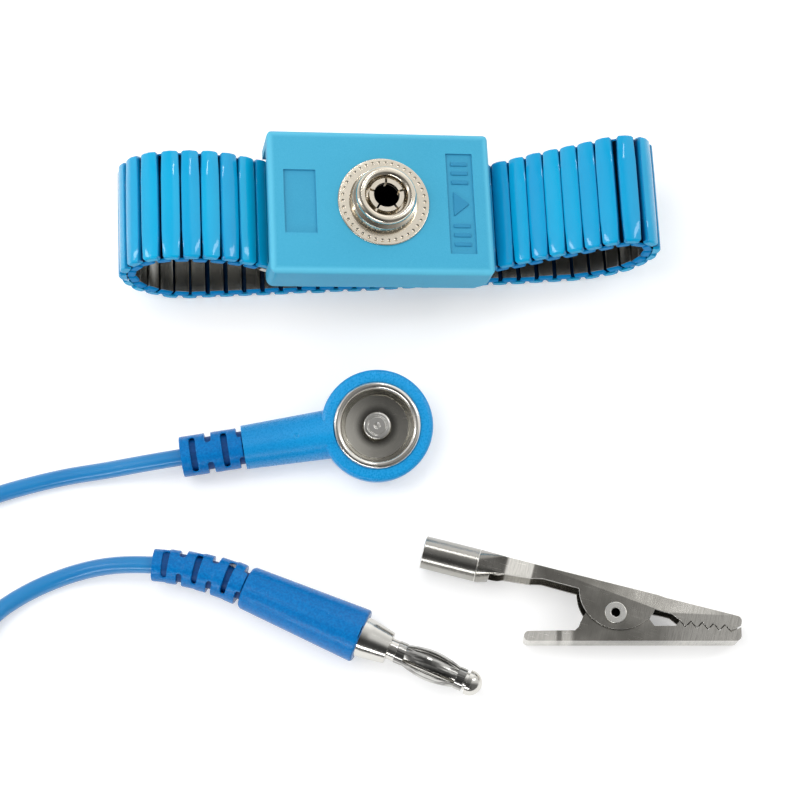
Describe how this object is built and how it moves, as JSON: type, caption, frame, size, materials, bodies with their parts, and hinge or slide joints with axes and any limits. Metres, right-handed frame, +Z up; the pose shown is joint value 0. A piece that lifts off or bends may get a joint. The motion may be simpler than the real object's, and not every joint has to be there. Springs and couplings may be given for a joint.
{
  "type": "esd wrist strap",
  "caption": "Expansion wristband with a snap buckle, a ground cord with a snap end and a banana plug, and an alligator clip that fits the plug.",
  "frame": {"origin": "middle of the base of the set without the cord: the wristband's lower run and the clip lie on z = 0", "axes": "+X along the wristband, to the right as seen from the front; +Y away from the viewer, across the band; +Z up"},
  "size_m": [0.1781, 0.1149, 0.0217],
  "materials": {
    "abs": "matt, light blue",
    "link_paint": "glossy blue enamel",
    "link_steel": "polished, dark",
    "spring_steel": "plain",
    "snap_nickel": "nickel plated",
    "plug_nickel": "nickel plated, polished",
    "clip_steel": "nickel plated, tumbled",
    "overmould": "smooth, slightly glossy",
    "cord": "smooth, slightly glossy",
    "resistor": "lacquered"
  },
  "bodies": {
    "strap": {"buckle_tray": "abs", "skin_plate": "spring_steel", "hinge_pin": "spring_steel", "band_end_pins": "spring_steel", "band_end_hooks": "spring_steel", "outer_links_fixed": "link_paint", "inner_links_fixed": "link_steel", "staples_fixed": "spring_steel", "leaf_springs_fixed": "spring_steel"},
    "cover": {"buckle_cover": "abs", "snap_flange": "snap_nickel", "snap_socket": "snap_nickel", "snap_spring_collar": "snap_nickel", "snap_rivet": "snap_nickel", "contact_strip": "spring_steel"},
    "left_1": {"outer_links_left_1": "link_paint", "inner_links_left_1": "link_steel", "staples_left_1": "spring_steel", "leaf_springs_left_1": "spring_steel", "stretch_staples_left_1": "spring_steel"},
    "left_2": {"outer_links_left_2": "link_paint", "inner_links_left_2": "link_steel", "staples_left_2": "spring_steel", "leaf_springs_left_2": "spring_steel", "stretch_staples_left_2": "spring_steel"},
    "right_1": {"outer_links_right_1": "link_paint", "inner_links_right_1": "link_steel", "staples_right_1": "spring_steel", "leaf_springs_right_1": "spring_steel", "stretch_staples_right_1": "spring_steel"},
    "right_2": {"outer_links_right_2": "link_paint", "inner_links_right_2": "link_steel", "staples_right_2": "spring_steel", "leaf_springs_right_2": "spring_steel", "stretch_staples_right_2": "spring_steel"},
    "clip": {"clip_upper_jaw": "clip_steel", "clip_plug_barrel": "clip_steel", "clip_rivet": "clip_steel", "clip_spring": "spring_steel"},
    "clip_jaw": {"clip_lower_jaw": "clip_steel"},
    "cord_set": {"snap_end_disc": "overmould", "snap_end_cup": "snap_nickel", "snap_end_stud": "snap_nickel", "snap_end_relief": "overmould", "resistor": "resistor", "plug_handle": "overmould", "plug_relief": "overmould", "plug_collar": "plug_nickel", "plug_pin": "plug_nickel", "snap_cord": "cord", "plug_cord": "cord", "cord_coil": "cord"},
    "plug_cage": {"plug_cage": "plug_nickel"}
  },
  "joints": [
    {"name": "cover_hinge", "type": "hinge", "parent": "strap", "child": "cover", "pos_m": [-0.02226, 0.0303, 0.01521], "axis": [0, -1, 0], "range_deg": [0, 30]},
    {"name": "stretch_left_1", "type": "slide", "parent": "strap", "child": "left_1", "axis": [-1, 0, 0], "range_m": [0, 0.002], "stiffness_N_per_m": 400, "deforming": ["stretch_staples_left_1"]},
    {"name": "stretch_left_2", "type": "slide", "parent": "left_1", "child": "left_2", "axis": [-1, 0, 0], "range_m": [0, 0.002], "stiffness_N_per_m": 400, "deforming": ["stretch_staples_left_2"]},
    {"name": "stretch_right_1", "type": "slide", "parent": "strap", "child": "right_1", "axis": [1, 0, 0], "range_m": [0, 0.002], "stiffness_N_per_m": 400, "deforming": ["stretch_staples_right_1"]},
    {"name": "stretch_right_2", "type": "slide", "parent": "right_1", "child": "right_2", "axis": [1, 0, 0], "range_m": [0, 0.002], "stiffness_N_per_m": 400, "deforming": ["stretch_staples_right_2"]},
    {"name": "clip_lift", "type": "slide", "parent": "strap", "child": "clip", "axis": [0, 0, 1], "range_m": [0, 0.05]},
    {"name": "clip_jaw_hinge", "type": "hinge", "parent": "clip", "child": "clip_jaw", "pos_m": [0.0286, -0.0368, 0.0033], "axis": [0, 0, -1], "range_deg": [0, 26], "stiffness_Nm_per_rad": 0.005, "springref_deg": -28.65},
    {"name": "cord_lift", "type": "slide", "parent": "strap", "child": "cord_set", "axis": [0, 0, 1], "range_m": [0, 0.05]},
    {"name": "cage_spin", "type": "hinge", "parent": "cord_set", "child": "plug_cage", "pos_m": [-0.00116, -0.04364, 0.0044], "axis": [0.8988, -0.4384, 0], "continuous": true}
  ],
  "couplings": [
    {"joint": "stretch_left_2", "follows": "stretch_left_1", "ratio": 1},
    {"joint": "stretch_right_2", "follows": "stretch_right_1", "ratio": 1}
  ]
}
